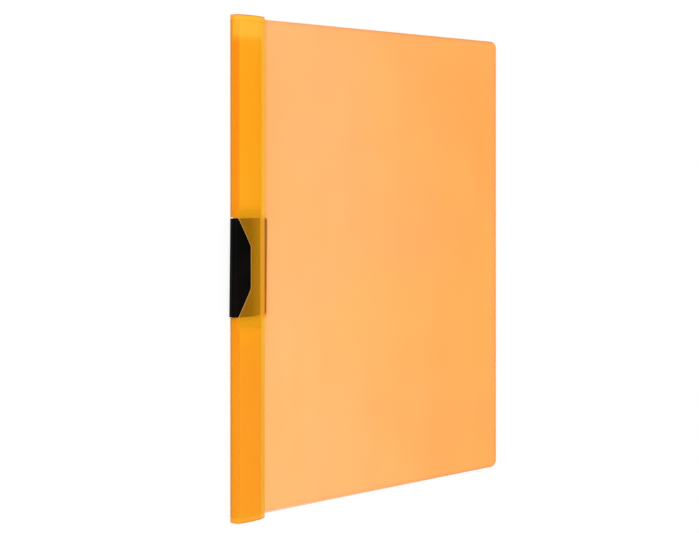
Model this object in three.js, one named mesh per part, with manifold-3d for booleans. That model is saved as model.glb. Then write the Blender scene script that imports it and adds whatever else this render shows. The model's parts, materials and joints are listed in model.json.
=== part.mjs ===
import * as THREE from 'three';
import { mergeVertices } from 'three/addons/utils/BufferGeometryUtils.js';
import Module from 'manifold-3d';

const wasm = await Module();
wasm.setup();

// A clip folder for loose sheets, lying flat on its back cover, front cover up.
// X runs from the spine to the fore edge, Y along the spine, Z up from the table.
// Lengths are in millimetres and angles in degrees.

// Covers
const folderWidth = 221;
const coverLength = 307;
const coverShift = 0.4;
const coverCornerRadius = 5;
const stepRadius = 0.8;

// Films
const sheetThickness = 0.6;
const frontThickness = 0.4;
const fit = 0.3;

// Spine and front strip, measured on the outer face of the folded sheet
const spineLength = 310;
const backBendRadius = 3;
const wallBulgeRadius = 5.9;
const wallBulgeTurn = 60;
const scoreRadius = 1;
const scoreTurn = 21;
const domeRadius = 40;
const domeTurn = 21;
const shoulderRadius = 9;
const shoulderTurn = 20;
const weldWidth = 1.4;
const lipRadius = 2;
const lipTurn = 43;
const lipDepth = 0.9;

// Crease of the front cover, beyond the lip of the strip
const creaseDistance = 2.7;

// Window in the spine, and the clip that it leaves open
const windowLength = 61.6;
const windowShift = 0.5;
const windowSetback = 0.6;
const windowDepth = 8.8;
const windowNarrowLength = 25.8;
const windowCornerRadius = 1;

// Spring clip
const clipThickness = 0.6;
const clipEndGap = 0.7;
const clipProud = 0.5;
const clipReach = 25.6;
const clipSkew = 0.62;
const clipBackRadius = 2;
const clipFrontRadius = 2.4;
const clipKneeRadius = 5;
const clipKneeTurn = 30;
const clipFootLength = 3.4;
const clipCornerRadius = 1.5;

// Faceting and cutting
const facetAngle = 7;
const cutMargin = 20;

const radians = THREE.MathUtils.degToRad;

const orangeFilm = new THREE.MeshStandardMaterial({ color: 0xffa31f, roughness: 0.42, metalness: 0 });
const frostedFilm = new THREE.MeshStandardMaterial({ color: 0xffb56b, roughness: 0.55, metalness: 0 });
const blackSteel = new THREE.MeshStandardMaterial({ color: 0x100e0d, roughness: 0.38, metalness: 0.3 });

// A folded strip is described by the straights and bends of its middle line.
// A positive turn bends to the left of the walking direction.
const straight = (length) => ({ length });
const bend = (radius, turn) => ({ radius, turn });

function walkSection(start, steps) {
  const states = [start];
  for (const step of steps) {
    const from = states[states.length - 1];
    if (step.turn === undefined) {
      const along = radians(from.heading);
      states.push({
        x: from.x + step.length * Math.cos(along),
        z: from.z + step.length * Math.sin(along),
        heading: from.heading,
      });
      continue;
    }
    const side = Math.sign(step.turn);
    const facets = Math.max(2, Math.ceil(Math.abs(step.turn) / facetAngle));
    const toCentre = radians(from.heading + 90 * side);
    const centreX = from.x + step.radius * Math.cos(toCentre);
    const centreZ = from.z + step.radius * Math.sin(toCentre);
    for (let i = 1; i <= facets; i += 1) {
      const heading = from.heading + (step.turn * i) / facets;
      const outward = radians(heading - 90 * side);
      states.push({
        x: centreX + step.radius * Math.cos(outward),
        z: centreZ + step.radius * Math.sin(outward),
        heading,
      });
    }
  }
  return states;
}

// The point at a distance to the left of the middle line, or to its right if negative.
function besideLine(state, distance) {
  const left = radians(state.heading + 90);
  return new THREE.Vector2(state.x + distance * Math.cos(left), state.z + distance * Math.sin(left));
}

// A strip of even thickness, its section in XZ, centred along Y.
function stripGeometry(states, thickness, length) {
  const rightFace = states.map((state) => besideLine(state, -thickness / 2));
  const leftFace = states.map((state) => besideLine(state, thickness / 2));
  const section = new THREE.Shape([...rightFace, ...leftFace.reverse()]);
  const geometry = new THREE.ExtrudeGeometry(section, { depth: length, bevelEnabled: false });
  return geometry.translate(0, 0, -length / 2).rotateX(Math.PI / 2);
}

// A plan outline with each corner rounded by its own radius, corners in counterclockwise order.
function roundedOutline(corners) {
  const shape = new THREE.Shape();
  corners.forEach((corner, i) => {
    const before = corners[(i + corners.length - 1) % corners.length];
    const after = corners[(i + 1) % corners.length];
    const here = new THREE.Vector2(corner.x, corner.y);
    const radius = corner.radius ?? 0;
    if (radius === 0) {
      shape.lineTo(here.x, here.y);
      return;
    }
    const back = new THREE.Vector2(before.x, before.y).sub(here).normalize();
    const on = new THREE.Vector2(after.x, after.y).sub(here).normalize();
    const halfAngle = Math.acos(back.dot(on)) / 2;
    const centre = back.clone().add(on).normalize().multiplyScalar(radius / Math.sin(halfAngle)).add(here);
    const entry = back.clone().multiplyScalar(radius / Math.tan(halfAngle)).add(here).sub(centre);
    const exit = on.clone().multiplyScalar(radius / Math.tan(halfAngle)).add(here).sub(centre);
    const clockwise = back.cross(on) > 0;
    shape.absarc(centre.x, centre.y, radius, entry.angle(), exit.angle(), clockwise);
  });
  shape.closePath();
  return shape;
}

// A plan outline raised between two heights.
function plateGeometry(corners, bottom, top) {
  const geometry = new THREE.ExtrudeGeometry(roundedOutline(corners), {
    depth: top - bottom,
    bevelEnabled: false,
    curveSegments: 10,
  });
  return geometry.translate(0, 0, bottom);
}

function toSolid(geometry) {
  const bare = geometry.clone();
  bare.deleteAttribute('normal');
  bare.deleteAttribute('uv');
  const merged = mergeVertices(bare);
  return new wasm.Manifold(new wasm.Mesh({
    numProp: 3,
    vertProperties: new Float32Array(merged.attributes.position.array),
    triVerts: new Uint32Array(merged.index.array),
  }));
}

function toGeometry(solid) {
  const mesh = solid.getMesh();
  const geometry = new THREE.BufferGeometry();
  geometry.setAttribute('position', new THREE.BufferAttribute(new Float32Array(mesh.vertProperties), 3));
  geometry.setIndex(new THREE.BufferAttribute(new Uint32Array(mesh.triVerts), 1));
  geometry.computeVertexNormals();
  return geometry;
}

function piece(name, geometry, material) {
  const mesh = new THREE.Mesh(geometry, material);
  mesh.name = name;
  return mesh;
}

// Folded sheet: back cover, spine wall, domed front strip and its turned-down lip, in walking order.
const halfSheet = sheetThickness / 2;
const sheetSection = walkSection({ x: folderWidth, z: halfSheet, heading: 180 }, [
  straight(folderWidth - backBendRadius),
  bend(backBendRadius - halfSheet, -90),
  bend(wallBulgeRadius - halfSheet, -wallBulgeTurn),
]);
const scoreStart = sheetSection[sheetSection.length - 1];
const scoreSection = walkSection(scoreStart, [bend(scoreRadius - halfSheet, -scoreTurn)]);
const shoulderSection = walkSection(scoreSection[scoreSection.length - 1], [
  bend(domeRadius - halfSheet, -domeTurn),
  bend(shoulderRadius - halfSheet, -shoulderTurn),
]);
const weldStart = shoulderSection[shoulderSection.length - 1];
const lipSection = walkSection(weldStart, [
  straight(weldWidth),
  bend(lipRadius - halfSheet, -lipTurn),
  straight(lipDepth),
]);
const lipEnd = lipSection[lipSection.length - 1];
const foldedSection = [
  ...sheetSection,
  ...scoreSection.slice(1),
  ...shoulderSection.slice(1),
  ...lipSection.slice(1),
];

// Heights and places that the other pieces take from the folded sheet
const scoreOuter = besideLine(scoreStart, halfSheet);
const scoreInner = besideLine(scoreStart, -halfSheet);
const lipCorner = besideLine(lipEnd, -halfSheet);
const creaseX = lipCorner.x + creaseDistance;
const creaseZ = lipCorner.y - fit;

// Front and back cover share one outline from the crease to the fore edge.
const coverTop = coverLength / 2 + coverShift;
const coverBottom = coverTop - coverLength;

function backCoverAndSpine() {
  const stepX = creaseX;
  const plan = toSolid(plateGeometry([
    { x: -cutMargin, y: -spineLength / 2 },
    { x: stepX, y: -spineLength / 2, radius: stepRadius },
    { x: stepX, y: coverBottom, radius: stepRadius / 2 },
    { x: folderWidth, y: coverBottom, radius: coverCornerRadius },
    { x: folderWidth, y: coverTop, radius: coverCornerRadius },
    { x: stepX, y: coverTop, radius: stepRadius / 2 },
    { x: stepX, y: spineLength / 2, radius: stepRadius },
    { x: -cutMargin, y: spineLength / 2 },
  ], -cutMargin, cutMargin));
  const sheet = toSolid(stripGeometry(foldedSection, sheetThickness, spineLength + fit));
  return toGeometry(sheet.intersect(plan).subtract(windowSolid()));
}

// The window is square across the spine wall and narrows on the domed strip.
function windowSolid() {
  const low = windowShift - windowLength / 2;
  const high = windowShift + windowLength / 2;
  const narrowLow = windowShift - windowNarrowLength / 2;
  const narrowHigh = windowShift + windowNarrowLength / 2;
  const midHeight = (sheetThickness + scoreInner.y) / 2;
  const taperStart = scoreOuter.x - windowSetback;
  const taperEnd = taperStart + windowDepth;
  const front = toSolid(plateGeometry([
    { x: -cutMargin, y: low },
    { x: taperStart, y: low, radius: windowCornerRadius },
    { x: taperEnd, y: narrowLow, radius: windowCornerRadius },
    { x: taperEnd, y: narrowHigh, radius: windowCornerRadius },
    { x: taperStart, y: high, radius: windowCornerRadius },
    { x: -cutMargin, y: high },
  ], midHeight, cutMargin));
  const wall = toSolid(plateGeometry([
    { x: -cutMargin, y: low },
    { x: backBendRadius, y: low },
    { x: backBendRadius, y: high },
    { x: -cutMargin, y: high },
  ], -cutMargin, midHeight));
  return front.add(wall);
}

// The margin of the front cover follows the inside of the strip, wraps round its lip
// and ends at the crease.
function frontCoverWeldMargin() {
  const inset = halfSheet + fit + frontThickness / 2;
  const from = besideLine(weldStart, -inset);
  const wrapRadius = fit + frontThickness / 2;
  const wrapTurn = -lipEnd.heading;
  const section = walkSection({ x: from.x, z: from.y, heading: weldStart.heading }, [
    straight(weldWidth),
    bend(lipRadius - halfSheet - inset, -lipTurn),
    straight(lipDepth),
    bend(wrapRadius, wrapTurn),
    straight(creaseDistance - fit / 2),
  ]);
  const strip = stripGeometry(section, frontThickness, coverLength);
  return strip.translate(0, coverShift, 0);
}

// The front cover turns on the crease, a line in its front face, and rests its fore edge on
// the back cover.
const coverReach = folderWidth - creaseX;
const restHeight = sheetThickness + fit + frontThickness;
const coverSlope = Math.asin((creaseZ - restHeight) / coverReach);

function frontCover() {
  return plateGeometry([
    { x: fit / 2, y: coverBottom },
    { x: coverReach, y: coverBottom, radius: coverCornerRadius },
    { x: coverReach, y: coverTop, radius: coverCornerRadius },
    { x: fit / 2, y: coverTop },
  ], -frontThickness, 0);
}

// The clip is a C of sheet steel: a flat back leg, a web in the window of the spine,
// and a front leg that steps down to a foot pressing on the sheets.
const halfClip = clipThickness / 2;
const clipLength = windowLength - 2 * clipEndGap;
const clipBottom = sheetThickness + fit + halfClip;
const clipTop = scoreInner.y - fit - halfClip;
const footHeight = creaseZ - frontThickness - fit - halfClip;

function springClip() {
  const backBend = clipBackRadius - halfClip;
  const frontBend = clipFrontRadius - halfClip;
  const webX = halfClip - clipProud;
  const slope = radians(clipKneeTurn);
  const arcDrop = 2 * clipKneeRadius * (1 - Math.cos(slope));
  const slant = (clipTop - footHeight - arcDrop) / Math.sin(slope);
  const stepLength = 2 * clipKneeRadius * Math.sin(slope) + slant * Math.cos(slope);
  const section = walkSection({ x: clipReach, z: clipBottom, heading: 180 }, [
    straight(clipReach - webX - backBend),
    bend(backBend, -90),
    straight(clipTop - clipBottom - backBend - frontBend),
    bend(frontBend, -90),
    straight(clipReach - webX - frontBend - stepLength - clipFootLength),
    bend(clipKneeRadius, -clipKneeTurn),
    straight(slant),
    bend(clipKneeRadius, clipKneeTurn),
    straight(clipFootLength),
  ]);
  const strip = toSolid(stripGeometry(section, clipThickness, clipLength + fit));
  const plan = toSolid(plateGeometry([
    { x: -cutMargin, y: -clipLength / 2 },
    { x: clipReach, y: -clipLength / 2, radius: clipCornerRadius },
    { x: clipReach, y: clipLength / 2, radius: clipCornerRadius },
    { x: -cutMargin, y: clipLength / 2 },
  ], -cutMargin, cutMargin));
  return toGeometry(strip.intersect(plan));
}

const folder = new THREE.Group();
folder.add(piece('back_cover_and_spine', backCoverAndSpine(), orangeFilm));
folder.add(piece('front_cover_weld_margin', frontCoverWeldMargin(), frostedFilm));

const coverHinge = new THREE.Group();
coverHinge.position.set(creaseX, 0, creaseZ);
coverHinge.rotation.y = coverSlope;
coverHinge.add(piece('front_cover', frontCover(), frostedFilm));
folder.add(coverHinge);

// The clip sits a little askew in its window, its near end further out.
const clipSeat = new THREE.Group();
clipSeat.position.set(0, windowShift, 0);
clipSeat.rotation.z = radians(-clipSkew);
clipSeat.add(piece('spring_clip', springClip(), blackSteel));
folder.add(clipSeat);

// The origin is on the table, in the middle of the folder's outline.
const outline = new THREE.Box3().setFromObject(folder, true);
const middle = outline.getCenter(new THREE.Vector3());
folder.position.set(-middle.x, -middle.y, -outline.min.z);

const part = new THREE.Group();
part.add(folder);

export default part;
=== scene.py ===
import json
import math

import bpy
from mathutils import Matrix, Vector


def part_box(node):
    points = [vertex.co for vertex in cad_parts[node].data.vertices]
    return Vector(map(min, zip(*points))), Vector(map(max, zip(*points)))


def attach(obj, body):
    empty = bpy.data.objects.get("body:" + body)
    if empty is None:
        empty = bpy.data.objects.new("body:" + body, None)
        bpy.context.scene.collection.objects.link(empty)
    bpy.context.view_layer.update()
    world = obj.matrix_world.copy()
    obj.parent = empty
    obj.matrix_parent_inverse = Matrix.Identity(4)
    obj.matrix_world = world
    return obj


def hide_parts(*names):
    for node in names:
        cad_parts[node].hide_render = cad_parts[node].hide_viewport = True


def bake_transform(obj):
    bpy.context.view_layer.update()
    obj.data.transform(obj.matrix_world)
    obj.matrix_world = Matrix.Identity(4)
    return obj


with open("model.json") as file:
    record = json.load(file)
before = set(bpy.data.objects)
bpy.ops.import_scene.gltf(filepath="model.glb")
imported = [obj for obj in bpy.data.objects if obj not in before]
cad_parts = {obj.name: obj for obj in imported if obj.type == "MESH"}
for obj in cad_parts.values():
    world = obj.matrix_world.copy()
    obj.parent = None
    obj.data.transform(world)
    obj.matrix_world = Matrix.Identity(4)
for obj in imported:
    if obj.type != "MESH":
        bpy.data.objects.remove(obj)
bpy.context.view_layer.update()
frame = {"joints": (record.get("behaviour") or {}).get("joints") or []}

mm = 0.001
quarterTurn = 90
tolerance = 0.005 * mm                                # how near two places are to count as one
mergeDistance = 0.001 * mm
smoothAngle = 35                                      # sharper edges than this stay sharp
sheetLow, sheetHigh = (Vector(corner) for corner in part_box("back_cover_and_spine"))
coverLow, coverHigh = (Vector(corner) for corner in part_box("front_cover"))
clipLow, clipHigh = (Vector(corner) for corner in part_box("spring_clip"))
hinge = next(joint for joint in frame["joints"] if joint["name"] == "cover_hinge")
crease = Vector(hinge["pos_m"])                       # the line that the front cover turns on
print("frame loaded")


# Camera and light

photoCamera = {
    "place": (-456.5 * mm, 54.5 * mm, 610.3 * mm),
    "turn": 35.64,                                    # degrees away from straight down
    "lens": 58.69,
    "sensor": 36.0,
    "shiftY": -0.1247,                                # the horizon is above the picture's middle
}

studio = {
    "floorSize": 12.0,
    "floorDrop": 0.3 * mm,
    "floorWhite": 0.92,
    "floorGlow": 0.85,                                # share of plain white in the floor, as seen
    "skyLight": 0.782,
    "keyPower": 13.5,
    "keySize": 1.4,
    "keyPlace": (-0.55, 0.3, 1.5),
}


def setCamera():
    lens = bpy.data.cameras.new("photoCamera")
    lens.sensor_width = photoCamera["sensor"]
    lens.lens = photoCamera["lens"]
    lens.shift_y = photoCamera["shiftY"]
    camera = bpy.data.objects.new("photoCamera", lens)
    camera.location = photoCamera["place"]
    camera.rotation_euler = (0, -math.radians(photoCamera["turn"]), 0)
    bpy.context.scene.collection.objects.link(camera)
    bpy.context.scene.camera = camera
    print("camera set")


def setStudio():
    world = bpy.data.worlds.new("studio")
    world.use_nodes = True
    tree = world.node_tree
    tree.nodes.clear()
    sky = addNode(tree, "ShaderNodeBackground")
    sky.inputs["Strength"].default_value = studio["skyLight"]
    backdrop = addNode(tree, "ShaderNodeBackground")
    backdrop.inputs["Strength"].default_value = 1.0
    for background in (sky, backdrop):
        background.inputs["Color"].default_value = (1, 1, 1, 1)
    out = addNode(tree, "ShaderNodeOutputWorld")
    tree.links.new(mixShaders(tree, seenDirectly(tree), sky.outputs[0], backdrop.outputs[0]), out.inputs[0])
    bpy.context.scene.world = world

    deselectAll()
    bpy.ops.mesh.primitive_plane_add(size=studio["floorSize"], location=(0, 0, -studio["floorDrop"]))
    floor = bpy.context.object
    floor.name = "floor"
    floor.data.materials.append(floorMaterial())

    lamp = bpy.data.lights.new("softbox", "AREA")
    lamp.energy = studio["keyPower"]
    lamp.size = studio["keySize"]
    key = bpy.data.objects.new("softbox", lamp)
    key.location = studio["keyPlace"]
    key.rotation_euler = Vector(studio["keyPlace"]).to_track_quat("Z", "Y").to_euler()
    bpy.context.scene.collection.objects.link(key)
    print("studio set")


def floorMaterial():
    material, tree = startMaterial("studioFloor")
    paper = addNode(tree, "ShaderNodeBsdfDiffuse")
    paper.inputs["Color"].default_value = (*[studio["floorWhite"]] * 3, 1)
    glow = addNode(tree, "ShaderNodeEmission")
    glow.inputs["Strength"].default_value = 1.0
    share = times(tree, seenDirectly(tree), studio["floorGlow"])
    endMaterial(tree, mixShaders(tree, share, paper.outputs[0], glow.outputs[0]))
    return material


# Material helpers

def linear(red, green, blue):
    def channel(value):
        share = value / 255
        return share / 12.92 if share <= 0.04045 else ((share + 0.055) / 1.055) ** 2.4
    return (channel(red), channel(green), channel(blue), 1)


def startMaterial(name):
    material = bpy.data.materials.new(name)
    material.use_nodes = True
    material.node_tree.nodes.clear()
    return material, material.node_tree


def endMaterial(tree, shader):
    out = addNode(tree, "ShaderNodeOutputMaterial")
    tree.links.new(shader, out.inputs[0])


def addNode(tree, kind, **settings):
    node = tree.nodes.new(kind)
    for name, value in settings.items():
        setattr(node, name, value)
    return node


def feed(tree, socket, value):                        # a number or a colour is set, a socket is linked
    if isinstance(value, (int, float, tuple)):
        socket.default_value = value
    else:
        tree.links.new(value, socket)


def seenDirectly(tree):                               # 1 for the camera, also by reflection or refraction
    path = addNode(tree, "ShaderNodeLightPath")
    seen = path.outputs["Is Camera Ray"]
    for name in ("Is Glossy Ray", "Is Transmission Ray"):
        seen = largest(tree, seen, path.outputs[name])
    return seen


def objectPlace(tree):
    place = addNode(tree, "ShaderNodeTexCoord")
    split = addNode(tree, "ShaderNodeSeparateXYZ")
    tree.links.new(place.outputs["Object"], split.inputs[0])
    return place.outputs["Object"], split.outputs


def ramp(tree, source, start, end, low=0.0, high=1.0):
    node = addNode(tree, "ShaderNodeMapRange", interpolation_type="SMOOTHSTEP")
    for name, value in (("From Min", start), ("From Max", end), ("To Min", low), ("To Max", high)):
        node.inputs[name].default_value = value
    tree.links.new(source, node.inputs["Value"])
    return node.outputs[0]


def fade(tree, source, place, offsets):               # 0 at the first offset from the place, 1 at the second
    return ramp(tree, source, place + offsets[0], place + offsets[1])


def combine(tree, operation, first, second):
    node = addNode(tree, "ShaderNodeMath", operation=operation)
    feed(tree, node.inputs[0], first)
    feed(tree, node.inputs[1], second)
    return node.outputs[0]


def times(tree, first, second):
    return combine(tree, "MULTIPLY", first, second)


def largest(tree, first, second):
    return combine(tree, "MAXIMUM", first, second)


def minus(tree, first, second):
    return combine(tree, "SUBTRACT", first, second)


def blendColours(tree, share, first, second):
    node = addNode(tree, "ShaderNodeMix", data_type="RGBA")
    feed(tree, node.inputs[0], share)
    feed(tree, node.inputs[6], first)
    feed(tree, node.inputs[7], second)
    return node.outputs[2]


def mixShaders(tree, share, first, second):
    node = addNode(tree, "ShaderNodeMixShader")
    feed(tree, node.inputs[0], share)
    tree.links.new(first, node.inputs[1])
    tree.links.new(second, node.inputs[2])
    return node.outputs[0]


def grain(tree, place, scale, stretch=(1, 1, 1), detail=2.0):
    mapping = addNode(tree, "ShaderNodeMapping")
    mapping.inputs["Scale"].default_value = stretch
    noise = addNode(tree, "ShaderNodeTexNoise")
    noise.inputs["Scale"].default_value = scale
    noise.inputs["Detail"].default_value = detail
    tree.links.new(place, mapping.inputs["Vector"])
    tree.links.new(mapping.outputs[0], noise.inputs["Vector"])
    return noise.outputs["Fac"]


def bump(tree, height, strength, distance):
    node = addNode(tree, "ShaderNodeBump")
    node.inputs["Strength"].default_value = strength
    node.inputs["Distance"].default_value = distance
    tree.links.new(height, node.inputs["Height"])
    return node.outputs[0]


def addSurface(tree, colour, roughness, gloss):
    surface = addNode(tree, "ShaderNodeBsdfPrincipled")
    surface.inputs["Specular IOR Level"].default_value = gloss
    tree.links.new(colour, surface.inputs["Base Color"])
    feed(tree, surface.inputs["Roughness"], roughness)
    return surface


def addClear(tree, tint):
    clear = addNode(tree, "ShaderNodeBsdfTransparent")
    clear.inputs["Color"].default_value = tint
    return clear.outputs[0]


def endFilm(tree, look, place, colour, body):         # body is the share that isn't seen through
    surface = addSurface(tree, colour, look["roughness"], look["gloss"])
    fine = grain(tree, place, look["fineScale"], detail=1.0)
    tree.links.new(bump(tree, fine, look["fineBump"], look["fineDepth"]), surface.inputs["Normal"])
    through = addNode(tree, "ShaderNodeBsdfTranslucent")
    tree.links.new(colour, through.inputs["Color"])
    solid = mixShaders(tree, look["glow"], surface.outputs[0], through.outputs[0])
    endMaterial(tree, mixShaders(tree, body, addClear(tree, look["tint"]), solid))


# Orange film

orangeLook = {
    "back": linear(255, 176, 40),                     # back cover, beside the crease
    "fore": linear(255, 166, 50),                     # back cover, at the fore edge
    "high": linear(255, 160, 30),                     # towards the cover's top
    "inner": linear(255, 238, 90),                    # inside of the spine, lit through the film
    "mid": linear(255, 181, 18),                      # strip and spine wall
    "low": linear(255, 172, 40),                      # strip and wall below the clip
    "deep": linear(255, 156, 8),
    # pale yellow: painted light where daylight comes in at the spine's open top end; also used for random
    # paler clouds
    "light": linear(255, 210, 74),
    # pale yellow on the welded band and lip: painted light, for light carried through the film to the lip and
    # to fill the shade where the strip closes on the cover; weldLow fades it towards the bottom
    "weld": linear(255, 216, 62),
    "weldLow": linear(255, 197, 58),
    "olive": linear(250, 172, 36),                    # outside of the spine wall, seen along its face
    "cutLine": linear(212, 128, 26),
    "edge": linear(205, 142, 46),
    # painted highlight along the window's cut edge
    "windowEdgeLight": linear(255, 200, 112),
    "windowBody": 0.17,                               # share of each face that isn't seen through
    "stripBody": 0.27,
    "denseBody": 0.52,                                # the strip away from the clip
    "weldBody": 0.6,
    "lipBody": 0.65,
    "wallBody": 0.4,
    "endBody": 0.85,
    "highShare": 0.5,                                 # how strongly each colour covers the ones before it
    "deepLowShare": 0.25,
    "lightShare": 0.85,
    "topBandShare": 0.6,
    "cutLineShare": 0.8,
    "cloudShare": 0.1,
    "streakShare": 0.12,
    "tint": (1.0, 0.91, 0.6, 1),
    "glow": 0.12,
    "roughness": 0.42,
    "edgeRoughness": 0.5,
    "gloss": 0.15,
    "cloudScale": 14,
    "cloudRange": (0.35, 0.65),
    "streakScale": 60,
    "streakRange": (0.4, 0.65),
    "streakStretch": (1.0, 0.04, 1.0),
    "edgeScale": 900,
    "fineScale": 2600,
    "fineBump": 0.25,
    "fineDepth": 0.02 * mm,
}

# Where each zone of the orange film starts and where it is full, as two offsets
orangeZones = {
    "foldedZ": (0.8 * mm, 1.6 * mm),                  # 0 on the back cover, 1 on spine and strip
    "insideZ": (0.35 * mm, 0.5 * mm),                 # the back cover's inner face
    "highY": (-60 * mm, 30 * mm),
    "lowY": (-20 * mm, -75 * mm),
    "deepY": (-80 * mm, -45 * mm),
    "weldLowY": (40 * mm, -130 * mm),
    "outside": (0.6 * mm, 0.1 * mm),                  # from the outside of the spine
    "score": 2.95 * mm,
    "scoreBlend": (-0.3 * mm, 0.3 * mm),              # from the score line
    "besideClip": (-17 * mm, -8 * mm),                # from the foot's tip
    "weldBand": 3.0 * mm,                             # width of the band that is welded, up to the lip
    "weldBlend": (-1.5 * mm, 1.5 * mm),               # from the band's edge
    "nearWeld": (-3 * mm, -0.5 * mm),
    "lip": (0, -1 * mm),                              # from the lip
    "farFromClip": (0.5 * mm, 9 * mm),                # from the window's ends
    "overClip": (2 * mm, -2 * mm),
    "windowEdgeLight": (30.8 * mm, 6.16 * mm),
    "openEnd": 14 * mm,                               # how far daylight reaches into the spine's top end
    "openBlend": (-3 * mm, 3 * mm),
    "nearEnd": (-5 * mm, -2.5 * mm),                  # from the strip's ends
    "cutLine": (-0.9 * mm, -0.3 * mm),
}


def orangeFilm():
    material, tree = startMaterial("orangeFilm")
    place, (x, y, z) = objectPlace(tree)
    look, zones = orangeLook, orangeZones
    scoreX = sheetLow.x + zones["score"]
    lipX = crease.x - film["creaseFromLip"]
    weldX = lipX - zones["weldBand"]
    clipEnd = window["length"] / 2
    fromMiddle = combine(tree, "ABSOLUTE", y, 0)

    folded = fade(tree, z, 0, zones["foldedZ"])
    pastScore = fade(tree, x, scoreX, zones["scoreBlend"])
    onWall = times(tree, folded, minus(tree, 1.0, pastScore))
    onStrip = times(tree, folded, pastScore)
    onWeld = times(tree, onStrip, fade(tree, x, weldX, zones["weldBlend"]))
    nearWeld = times(tree, onStrip, fade(tree, x, weldX, zones["nearWeld"]))
    overClip = times(tree, onWeld, fade(tree, fromMiddle, clipEnd, zones["overClip"]))
    farFromClip = times(tree, onStrip, fade(tree, fromMiddle, clipEnd, zones["farFromClip"]))
    weldLow = times(tree, onWeld, fade(tree, y, 0, zones["weldLowY"]))
    onLow = times(tree, folded, fade(tree, y, 0, zones["lowY"]))
    onDeep = times(tree, onWall, ramp(tree, y, *zones["deepY"], look["deepLowShare"], 1.0))
    nearTop = times(tree, folded, fade(tree, y, sheetHigh.y - zones["openEnd"], zones["openBlend"]))
    nearEnd = times(tree, folded, fade(tree, fromMiddle, sheetHigh.y, zones["nearEnd"]))
    onEnd = times(tree, folded, fade(tree, fromMiddle, sheetHigh.y, zones["cutLine"]))
    inSpine = times(tree, fade(tree, z, 0, zones["insideZ"]), fade(tree, x, lipX, zones["lip"]))
    onOutside = times(tree, folded, fade(tree, x, sheetLow.x, zones["outside"]))
    cloudGrain = grain(tree, place, look["cloudScale"])
    clouds = ramp(tree, cloudGrain, *look["cloudRange"], 0.0, look["cloudShare"])
    streakGrain = grain(tree, place, look["streakScale"], stretch=look["streakStretch"])
    streaks = ramp(tree, streakGrain, *look["streakRange"], 0.0, look["streakShare"])

    # painted light: the back cover is painted a little paler beside the crease than at the fore edge,
    # standing in for the lamp's falloff
    pigment = blendColours(tree, ramp(tree, x, crease.x, sheetHigh.x), look["back"], look["fore"])
    for share, name in (
            (times(tree, fade(tree, y, 0, zones["highY"]), look["highShare"]), "high"),
            (inSpine, "inner"),
            (folded, "mid"),
            (onDeep, "deep"),
            (onLow, "low"),
            # painted light on the welded band and lip, taken back over the clip by overClip
            (onWeld, "weld"),
            (weldLow, "weldLow"),
            (overClip, "low"),
            # painted light: paler where daylight comes in at the spine's open top end
            (times(tree, nearTop, look["lightShare"]), "light"),
            (times(tree, times(tree, nearEnd, nearTop), look["topBandShare"]), "mid"),
            (times(tree, onEnd, look["cutLineShare"]), "cutLine"),
            (onOutside, "olive"),
            (clouds, "light"),
            (streaks, "deep")):
        pigment = blendColours(tree, share, pigment, look[name])

    besideClip = ramp(
        tree, x, clipHigh.x + zones["besideClip"][0], clipHigh.x + zones["besideClip"][1],
        look["windowBody"], look["stripBody"])
    body = largest(tree, minus(tree, 1.0, folded), besideClip)
    for share, name in (
            (farFromClip, "denseBody"),
            (nearWeld, "weldBody"),
            (onWeld, "lipBody"),
            (onWall, "wallBody"),
            (nearEnd, "endBody")):
        body = largest(tree, body, times(tree, share, look[name]))
    endFilm(tree, look, place, pigment, body)
    return material


def orangeCutEdge():
    material, tree = startMaterial("orangeCutEdge")
    place, (_, y, _) = objectPlace(tree)
    fromMiddle = combine(tree, "ABSOLUTE", y, 0)
    atWindow = fade(tree, fromMiddle, window["length"] / 2, orangeZones["windowEdgeLight"])
    specks = grain(tree, place, orangeLook["edgeScale"])
    colour = blendColours(tree, specks, orangeLook["edge"], orangeLook["mid"])
    # painted highlight on the cut edge near the window
    colour = blendColours(tree, atWindow, colour, orangeLook["windowEdgeLight"])
    surface = addSurface(tree, colour, orangeLook["edgeRoughness"], orangeLook["gloss"])
    endMaterial(tree, surface.outputs[0])
    return material


# Frosted film

frostLook = {
    "veil": linear(255, 252, 242),
    "warm": linear(255, 240, 214),
    "crease": linear(255, 214, 164),
    "creaseLow": linear(255, 234, 188),
    "overFoot": linear(255, 178, 82),                 # painted shade: darker orange where the clip's foot lies under the crease
    "border": linear(246, 178, 104),                  # light gathers along the cut edges
    "edge": linear(236, 190, 140),
    "edgeDark": linear(228, 176, 122),
    "spineBody": 0.12,                                # share of each face that isn't seen through
    "foreBody": 0.055,
    "creaseBody": 0.2,
    "borderBody": 0.45,
    "edgeBody": 0.3,
    "patchy": (0.9, 1.1),                             # how far the veil varies
    "creaseLowY": (0, -60 * mm),
    "besideFoot": (1.5 * mm, -0.5 * mm),              # from the clip's ends
    "borderWidth": 1.3 * mm,
    "tint": (1, 1, 1, 1),
    "glow": 0.2,
    "roughness": 0.55,
    "edgeRoughness": 0.5,
    "gloss": 0.15,
    "cloudScale": 9,
    "cloudRange": (0.35, 0.65),
    "patchRange": (0.3, 0.7),
    "edgeScale": 700,
    "fineScale": 3200,
    "fineBump": 0.3,
    "fineDepth": 0.02 * mm,
}


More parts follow.
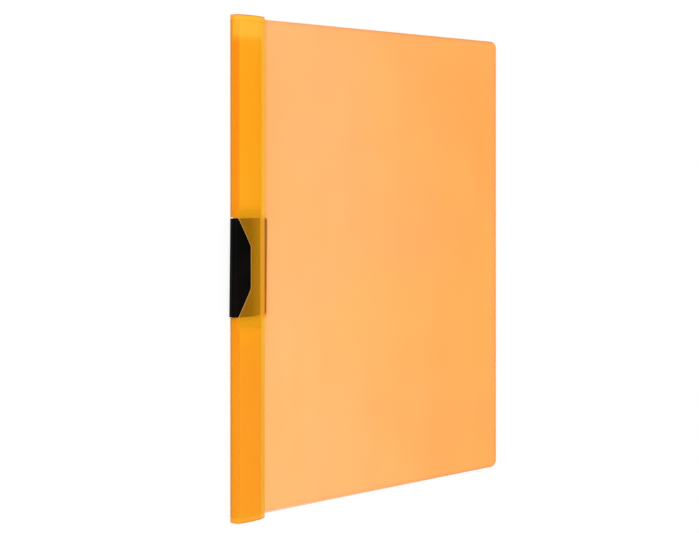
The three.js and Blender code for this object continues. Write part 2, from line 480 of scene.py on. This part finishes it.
def frostedFilm():
    material, tree = startMaterial("frostedFilm")
    place, (x, y, _) = objectPlace(tree)
    look = frostLook
    width = film["creaseHalfWidth"]
    fromMiddle = combine(tree, "ABSOLUTE", y, 0)
    clouds = grain(tree, place, look["cloudScale"])
    onCrease = ramp(tree, x, crease.x + width, crease.x + width / 2)
    overFoot = times(tree, onCrease, fade(tree, fromMiddle, clip["length"] / 2, look["besideFoot"]))
    fromEnds = combine(tree, "MINIMUM", minus(tree, coverHigh.y, y), minus(tree, y, coverLow.y))
    fromEdges = combine(tree, "MINIMUM", minus(tree, coverHigh.x, x), fromEnds)
    border = ramp(tree, fromEdges, look["borderWidth"], look["borderWidth"] / 2)

    colour = blendColours(tree, ramp(tree, clouds, *look["cloudRange"]), look["veil"], look["warm"])
    creaseColour = blendColours(tree, fade(tree, y, 0, look["creaseLowY"]), look["crease"], look["creaseLow"])
    colour = blendColours(tree, onCrease, colour, creaseColour)
    # painted shade of the clip's foot seen through the crease
    colour = blendColours(tree, overFoot, colour, look["overFoot"])
    colour = blendColours(tree, border, colour, look["border"])

    # the veil is thicker beside the spine: partly where the films part there, partly painted light standing
    # in for the lamp's falloff
    veil = ramp(tree, x, crease.x, coverHigh.x, look["spineBody"], look["foreBody"])
    body = times(tree, veil, ramp(tree, clouds, *look["patchRange"], *look["patchy"]))
    for share, name in ((onCrease, "creaseBody"), (border, "borderBody")):
        body = largest(tree, body, times(tree, share, look[name]))
    endFilm(tree, look, place, colour, body)
    return material


def frostedCutEdge():
    material, tree = startMaterial("frostedCutEdge")
    place, _ = objectPlace(tree)
    specks = grain(tree, place, frostLook["edgeScale"])
    colour = blendColours(tree, specks, frostLook["edge"], frostLook["edgeDark"])
    surface = addSurface(tree, colour, frostLook["edgeRoughness"], frostLook["gloss"])
    clear = addClear(tree, frostLook["tint"])
    endMaterial(tree, mixShaders(tree, frostLook["edgeBody"], clear, surface.outputs[0]))
    return material


# Black coated steel

steelLook = {
    "black": linear(4, 4, 3),
    "brown": linear(11, 8, 6),
    "roughness": (0.34, 0.46),
    "gloss": 0.02,
    "cloudScale": 90,
    "cloudRange": (0.35, 0.7),
    "fineScale": 1800,
    "fineRange": (0.3, 0.7),
    "fineBump": 0.2,
    "fineDepth": 0.015 * mm,
}


def blackSteel():
    material, tree = startMaterial("blackSteel")
    place, _ = objectPlace(tree)
    clouds = ramp(tree, grain(tree, place, steelLook["cloudScale"]), *steelLook["cloudRange"])
    fine = grain(tree, place, steelLook["fineScale"], detail=3.0)
    colour = blendColours(tree, clouds, steelLook["black"], steelLook["brown"])
    roughness = ramp(tree, fine, *steelLook["fineRange"], *steelLook["roughness"])
    surface = addSurface(tree, colour, roughness, steelLook["gloss"])
    tree.links.new(bump(tree, fine, steelLook["fineBump"], steelLook["fineDepth"]), surface.inputs["Normal"])
    endMaterial(tree, surface.outputs[0])
    return material


# Modelling helpers
# A sheet starts as a flat plate. Its edge is then pulled and spun along the section by a pen, which
# holds where the edge is and its heading in degrees in the XZ plane.

def deselectAll():
    if bpy.context.object and bpy.context.object.mode != "OBJECT":
        bpy.ops.object.mode_set(mode="OBJECT")
    bpy.ops.object.select_all(action="DESELECT")


def makeActive(piece):
    deselectAll()
    bpy.context.view_layer.objects.active = piece
    piece.select_set(True)


def pick(piece, vertexTest, mode="VERT"):
    bpy.ops.object.mode_set(mode="EDIT")
    bpy.ops.mesh.select_mode(type="VERT")
    bpy.ops.mesh.select_all(action="DESELECT")
    bpy.ops.object.mode_set(mode="OBJECT")
    for vertex in piece.data.vertices:
        vertex.select = vertexTest(vertex.co)
    bpy.ops.object.mode_set(mode="EDIT")
    bpy.ops.mesh.select_mode(type=mode)


def near(value, target):
    return abs(value - target) < tolerance


def blankMaterials(piece):
    for name in ("surface", "rim"):
        piece.data.materials.append(bpy.data.materials.new(name))


def nameAndSize(piece, name, size):
    piece.name = name
    piece.data.name = name
    piece.scale = size
    bpy.ops.object.transform_apply(location=True, rotation=True, scale=True)
    blankMaterials(piece)
    return piece


def startPlate(name, lowX, highX, lowY, highY, height):
    deselectAll()
    bpy.ops.mesh.primitive_plane_add(size=1, location=((lowX + highX) / 2, (lowY + highY) / 2, height))
    return nameAndSize(bpy.context.object, name, (highX - lowX, highY - lowY, 1))


def pullEdge(pen, length):
    along = math.radians(pen["heading"])
    step = Vector((length * math.cos(along), 0, length * math.sin(along)))
    bpy.ops.mesh.extrude_region_move(TRANSFORM_OT_translate={"value": step})
    pen["at"] = pen["at"] + step


def spinEdge(pen, radius, turn, facet):               # turn and facet in degrees
    side = math.copysign(1, turn)
    toCentre = math.radians(pen["heading"] + quarterTurn * side)
    centre = pen["at"] + radius * Vector((math.cos(toCentre), 0, math.sin(toCentre)))
    steps = max(3, math.ceil(abs(turn) / facet))
    bpy.ops.mesh.spin(steps=steps, angle=math.radians(turn), center=centre, axis=(0, 1, 0))
    pen["heading"] += turn
    outward = math.radians(pen["heading"] - quarterTurn * side)
    pen["at"] = centre + radius * Vector((math.cos(outward), 0, math.sin(outward)))


def cutAcross(piece, places):
    for place in places:
        pick(piece, lambda co: True)
        bpy.ops.mesh.bisect(plane_co=(0, place, 0), plane_no=(0, 1, 0))
    bpy.ops.object.mode_set(mode="OBJECT")


def cutEvenly(piece, lowY, highY, spacing):           # half a spacing is left at each end
    count = round((highY - lowY) / spacing)
    cutAcross(piece, [lowY + (i + 0.5) * spacing for i in range(count)])


def thicken(piece, thickness):
    pick(piece, lambda co: True)
    bpy.ops.mesh.remove_doubles(threshold=mergeDistance)
    bpy.ops.mesh.normals_make_consistent(inside=False)
    bpy.ops.object.mode_set(mode="OBJECT")
    wall = piece.modifiers.new("wall", "SOLIDIFY")
    wall.thickness = thickness
    wall.offset = 0
    wall.use_even_offset = True
    wall.material_offset_rim = 1
    bpy.ops.object.modifier_apply(modifier=wall.name)


def roundCorners(piece, edgeX, endsY, radius, segments):
    pick(piece, lambda co: near(co.x, edgeX) and any(near(co.y, y) for y in endsY), mode="EDGE")
    bpy.ops.mesh.bevel(offset=radius, segments=segments, affect="EDGES", profile=0.5)
    bpy.ops.object.mode_set(mode="OBJECT")


def cutWith(piece, cutter):
    for face in cutter.data.polygons:
        face.material_index = 1
    makeActive(piece)
    cut = piece.modifiers.new("cut", "BOOLEAN")
    cut.operation = "DIFFERENCE"
    cut.solver = "EXACT"
    cut.object = cutter
    bpy.ops.object.modifier_apply(modifier=cut.name)
    bpy.data.objects.remove(cutter)


def finishPiece(piece, surfaceMaterial, rimMaterial):
    makeActive(piece)
    bpy.ops.object.shade_smooth_by_angle(angle=math.radians(smoothAngle))
    for index, material in enumerate((surfaceMaterial, rimMaterial)):
        piece.data.materials[index] = material
    print("made", piece.name, len(piece.data.polygons), "faces")


# Folded sheet: back cover, spine wall and domed strip, one piece

sheet = {
    "thickness": 0.6 * mm,
    "stepRadius": 0.8 * mm,                           # where the strip's end stands past the cover's
    "backBend": 3.0 * mm,                             # radii are those of the outer face
    "wallBulge": 5.9 * mm,
    "wallTurn": 60,
    "score": 1.0 * mm,
    "scoreTurn": 21,
    "dome": 40.0 * mm,
    "domeTurn": 21,
    "shoulder": 9.0 * mm,
    "shoulderTurn": 20,
    "weld": 1.4 * mm,
    "lip": 2.0 * mm,
    "lipTurn": 43,
    "lipDepth": 0.9 * mm,
    "cornerRadius": 5.0 * mm,
    "cornerSegments": 10,
    "cutSpacing": 10 * mm,
    "backFacet": 6,                                   # degrees that one facet of each bend turns
    "wallFacet": 5,
    "scoreFacet": 5,
    "domeFacet": 7,
    "shoulderFacet": 4,
    "lipFacet": 6,
}

window = {
    "length": 61.6 * mm,
    "middle": 0.5 * mm,
    "taperStart": 2.35 * mm,                          # from the outside of the spine wall
    "depth": 8.8 * mm,
    "narrow": 25.8 * mm,
    "wideCorner": 0.62 * mm,
    "narrowCorner": 0.23 * mm,
    "cornerSegments": 5,
    "reach": 20 * mm,                                 # how far the cutters stand out of the sheet
    "overlap": 0.5 * mm,                              # how far the wall's cutter goes up into the strip's
}


def makeSheet():
    half = sheet["thickness"] / 2
    body = startPlate("orange_sheet", crease.x, sheetHigh.x, coverLow.y, coverHigh.y, half)
    pen = {"at": Vector((crease.x, 0, half)), "heading": 2 * quarterTurn}
    pick(body, lambda co: near(co.x, crease.x))
    pullEdge(pen, sheet["stepRadius"])
    stepX = pen["at"].x
    for coverY, stripY in ((coverLow.y, sheetLow.y), (coverHigh.y, sheetHigh.y)):
        pick(body, lambda co: near(co.x, stepX) and near(co.y, coverY))
        bpy.ops.transform.translate(value=(0, stripY - coverY, 0))
    pick(body, lambda co: near(co.x, stepX))
    pullEdge(pen, stepX - sheetLow.x - sheet["backBend"])
    spinEdge(pen, sheet["backBend"] - half, -quarterTurn, sheet["backFacet"])
    spinEdge(pen, sheet["wallBulge"] - half, -sheet["wallTurn"], sheet["wallFacet"])
    spinEdge(pen, sheet["score"] - half, -sheet["scoreTurn"], sheet["scoreFacet"])
    spinEdge(pen, sheet["dome"] - half, -sheet["domeTurn"], sheet["domeFacet"])
    spinEdge(pen, sheet["shoulder"] - half, -sheet["shoulderTurn"], sheet["shoulderFacet"])
    pullEdge(pen, sheet["weld"])
    spinEdge(pen, sheet["lip"] - half, -sheet["lipTurn"], sheet["lipFacet"])
    pullEdge(pen, sheet["lipDepth"])
    cutEvenly(body, sheetLow.y, sheetHigh.y, sheet["cutSpacing"])
    thicken(body, sheet["thickness"])
    roundCorners(body, sheetHigh.x, (coverLow.y, coverHigh.y), sheet["cornerRadius"], sheet["cornerSegments"])
    cutWith(body, stripCutter())
    cutWith(body, wallCutter())
    finishPiece(body, orangeFilm(), orangeCutEdge())
    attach(body, "folder")
    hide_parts("back_cover_and_spine")


def cutterBlock(name, lowX, highX, lowZ, highZ):
    deselectAll()
    middle = ((lowX + highX) / 2, window["middle"], (lowZ + highZ) / 2)
    bpy.ops.mesh.primitive_cube_add(size=1, location=middle)
    return nameAndSize(bpy.context.object, name, (highX - lowX, window["length"], highZ - lowZ))


def stripCutter():
    start = sheetLow.x + window["taperStart"]
    end = start + window["depth"]
    block = cutterBlock("strip_cutter", sheetLow.x - window["reach"], start,
                        sheetHigh.z / 2, sheetHigh.z + window["reach"])
    pick(block, lambda co: near(co.x, start), mode="FACE")
    bpy.ops.mesh.extrude_region_move(TRANSFORM_OT_translate={"value": (window["depth"], 0, 0)})
    bpy.ops.transform.resize(
        value=(1, window["narrow"] / window["length"], 1),
        center_override=(end, window["middle"], sheetHigh.z))
    for cornerX, offset in ((start, window["wideCorner"]), (end, window["narrowCorner"])):
        pickUprights(block, cornerX)
        bpy.ops.mesh.bevel(offset=offset, segments=window["cornerSegments"], affect="EDGES")
    bpy.ops.object.mode_set(mode="OBJECT")
    return block


def pickUprights(block, cornerX):
    pick(block, lambda co: near(co.x, cornerX), mode="EDGE")
    bpy.ops.object.mode_set(mode="OBJECT")
    for edge in block.data.edges:
        first, second = (block.data.vertices[index].co for index in edge.vertices)
        edge.select = near(first.x, cornerX) and near(second.x, cornerX) and near(first.y, second.y)
    bpy.ops.object.mode_set(mode="EDIT")


def wallCutter():
    return cutterBlock("wall_cutter", sheetLow.x - window["reach"], sheetLow.x + sheet["backBend"],
                       -window["reach"], sheetHigh.z / 2 + window["overlap"])


# Front cover and the margin of it that is welded under the strip, one film

film = {
    "thickness": 0.4 * mm,
    "gap": 0.3 * mm,
    "creaseFromLip": 2.7 * mm,
    "creaseHalfWidth": 0.8 * mm,
    "creaseDepth": 0.06 * mm,
    "creaseColumns": 16,
    "hookTurn": 75,                                   # degrees from the cover up into the lip
    "hookFacet": 10,
    "lipFacet": 8,
    "cornerRadius": 5.0 * mm,
    "cornerSegments": 10,
    "cutSpacing": 20 * mm,
}


def makeFilm():
    half = film["thickness"] / 2
    level = crease.z - half
    width = film["creaseHalfWidth"]
    columns = film["creaseColumns"]
    startX = crease.x + width
    body = startPlate("front_film", startX, coverHigh.x, coverLow.y, coverHigh.y, level)
    pen = {"at": Vector((startX, 0, level)), "heading": 2 * quarterTurn}
    pick(body, lambda co: near(co.x, startX))
    for _ in range(columns):
        pullEdge(pen, 2 * width / columns)
    pullEdge(pen, film["creaseFromLip"] - width)
    spinEdge(pen, film["gap"] + half, -film["hookTurn"], film["hookFacet"])
    pullEdge(pen, sheet["lipDepth"])
    lipRadius = sheet["lip"] - sheet["thickness"] - film["gap"] - half
    spinEdge(pen, lipRadius, sheet["lipTurn"], film["lipFacet"])
    pullEdge(pen, sheet["weld"])
    for i in range(1, columns):
        columnX = startX - 2 * width * i / columns
        dip = film["creaseDepth"] * (1 - math.cos(2 * math.pi * i / columns)) / 2
        pick(body, lambda co: near(co.x, columnX) and near(co.z, level))
        bpy.ops.transform.translate(value=(0, 0, -dip))
    pick(body, lambda co: near(co.x, coverHigh.x))
    bpy.ops.transform.translate(value=(0, 0, coverLow.z + half - level))
    cutEvenly(body, coverLow.y, coverHigh.y, film["cutSpacing"])
    thicken(body, film["thickness"])
    roundCorners(body, coverHigh.x, (coverLow.y, coverHigh.y), film["cornerRadius"], film["cornerSegments"])
    finishPiece(body, frostedFilm(), frostedCutEdge())
    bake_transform(body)
    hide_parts("front_cover", "front_cover_weld_margin")


# Spring clip

clip = {
    "thickness": 0.6 * mm,
    "length": 60.2 * mm,
    "reach": 25.6 * mm,                               # from the outside of the spine wall to the foot's tip
    "proud": 0.5 * mm,
    "skew": 0.62,
    "backBend": 2.0 * mm,
    "frontBend": 2.4 * mm,
    "bendFacet": 9,
    "knee": 5.0 * mm,
    "kneeTurn": 30,
    "kneeFacet": 5,
    "foot": 3.4 * mm,
    "cornerRadius": 1.5 * mm,
    "cornerSegments": 6,
    "cuts": 8,
}


def makeClip():
    half = clip["thickness"] / 2
    lowY = window["middle"] - clip["length"] / 2
    highY = window["middle"] + clip["length"] / 2
    tipX = sheetLow.x + clip["reach"]
    webX = sheetLow.x - clip["proud"] + half
    backLevel = clipLow.z + half
    topLevel = clipHigh.z - half
    footLevel = crease.z - film["thickness"] - film["gap"] - half
    backRadius = clip["backBend"] - half
    frontRadius = clip["frontBend"] - half
    slope = math.radians(clip["kneeTurn"])
    kneeDrop = 2 * clip["knee"] * (1 - math.cos(slope))
    slant = (topLevel - footLevel - kneeDrop) / math.sin(slope)
    stepLength = 2 * clip["knee"] * math.sin(slope) + slant * math.cos(slope)

    body = startPlate("clip_steel", webX + backRadius, tipX, lowY, highY, backLevel)
    pen = {"at": Vector((webX + backRadius, 0, backLevel)), "heading": 2 * quarterTurn}
    pick(body, lambda co: near(co.x, webX + backRadius))
    spinEdge(pen, backRadius, -quarterTurn, clip["bendFacet"])
    pullEdge(pen, topLevel - backLevel - backRadius - frontRadius)
    spinEdge(pen, frontRadius, -quarterTurn, clip["bendFacet"])
    pullEdge(pen, tipX - webX - frontRadius - stepLength - clip["foot"])
    spinEdge(pen, clip["knee"], -clip["kneeTurn"], clip["kneeFacet"])
    pullEdge(pen, slant)
    spinEdge(pen, clip["knee"], clip["kneeTurn"], clip["kneeFacet"])
    pullEdge(pen, clip["foot"])
    cutAcross(body, [lowY + (highY - lowY) * i / clip["cuts"] for i in range(1, clip["cuts"])])
    thicken(body, clip["thickness"])
    roundCorners(body, tipX, (lowY, highY), clip["cornerRadius"], clip["cornerSegments"])
    pick(body, lambda co: True)
    bpy.ops.transform.rotate(
        value=math.radians(clip["skew"]), orient_axis="Z",
        center_override=(sheetLow.x, window["middle"], 0))
    bpy.ops.object.mode_set(mode="OBJECT")
    steel = blackSteel()
    finishPiece(body, steel, steel)
    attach(body, "clip")
    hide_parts("spring_clip")


setCamera()
setStudio()
makeSheet()
makeFilm()
makeClip()

bpy.context.scene.view_settings.view_transform = "Standard"
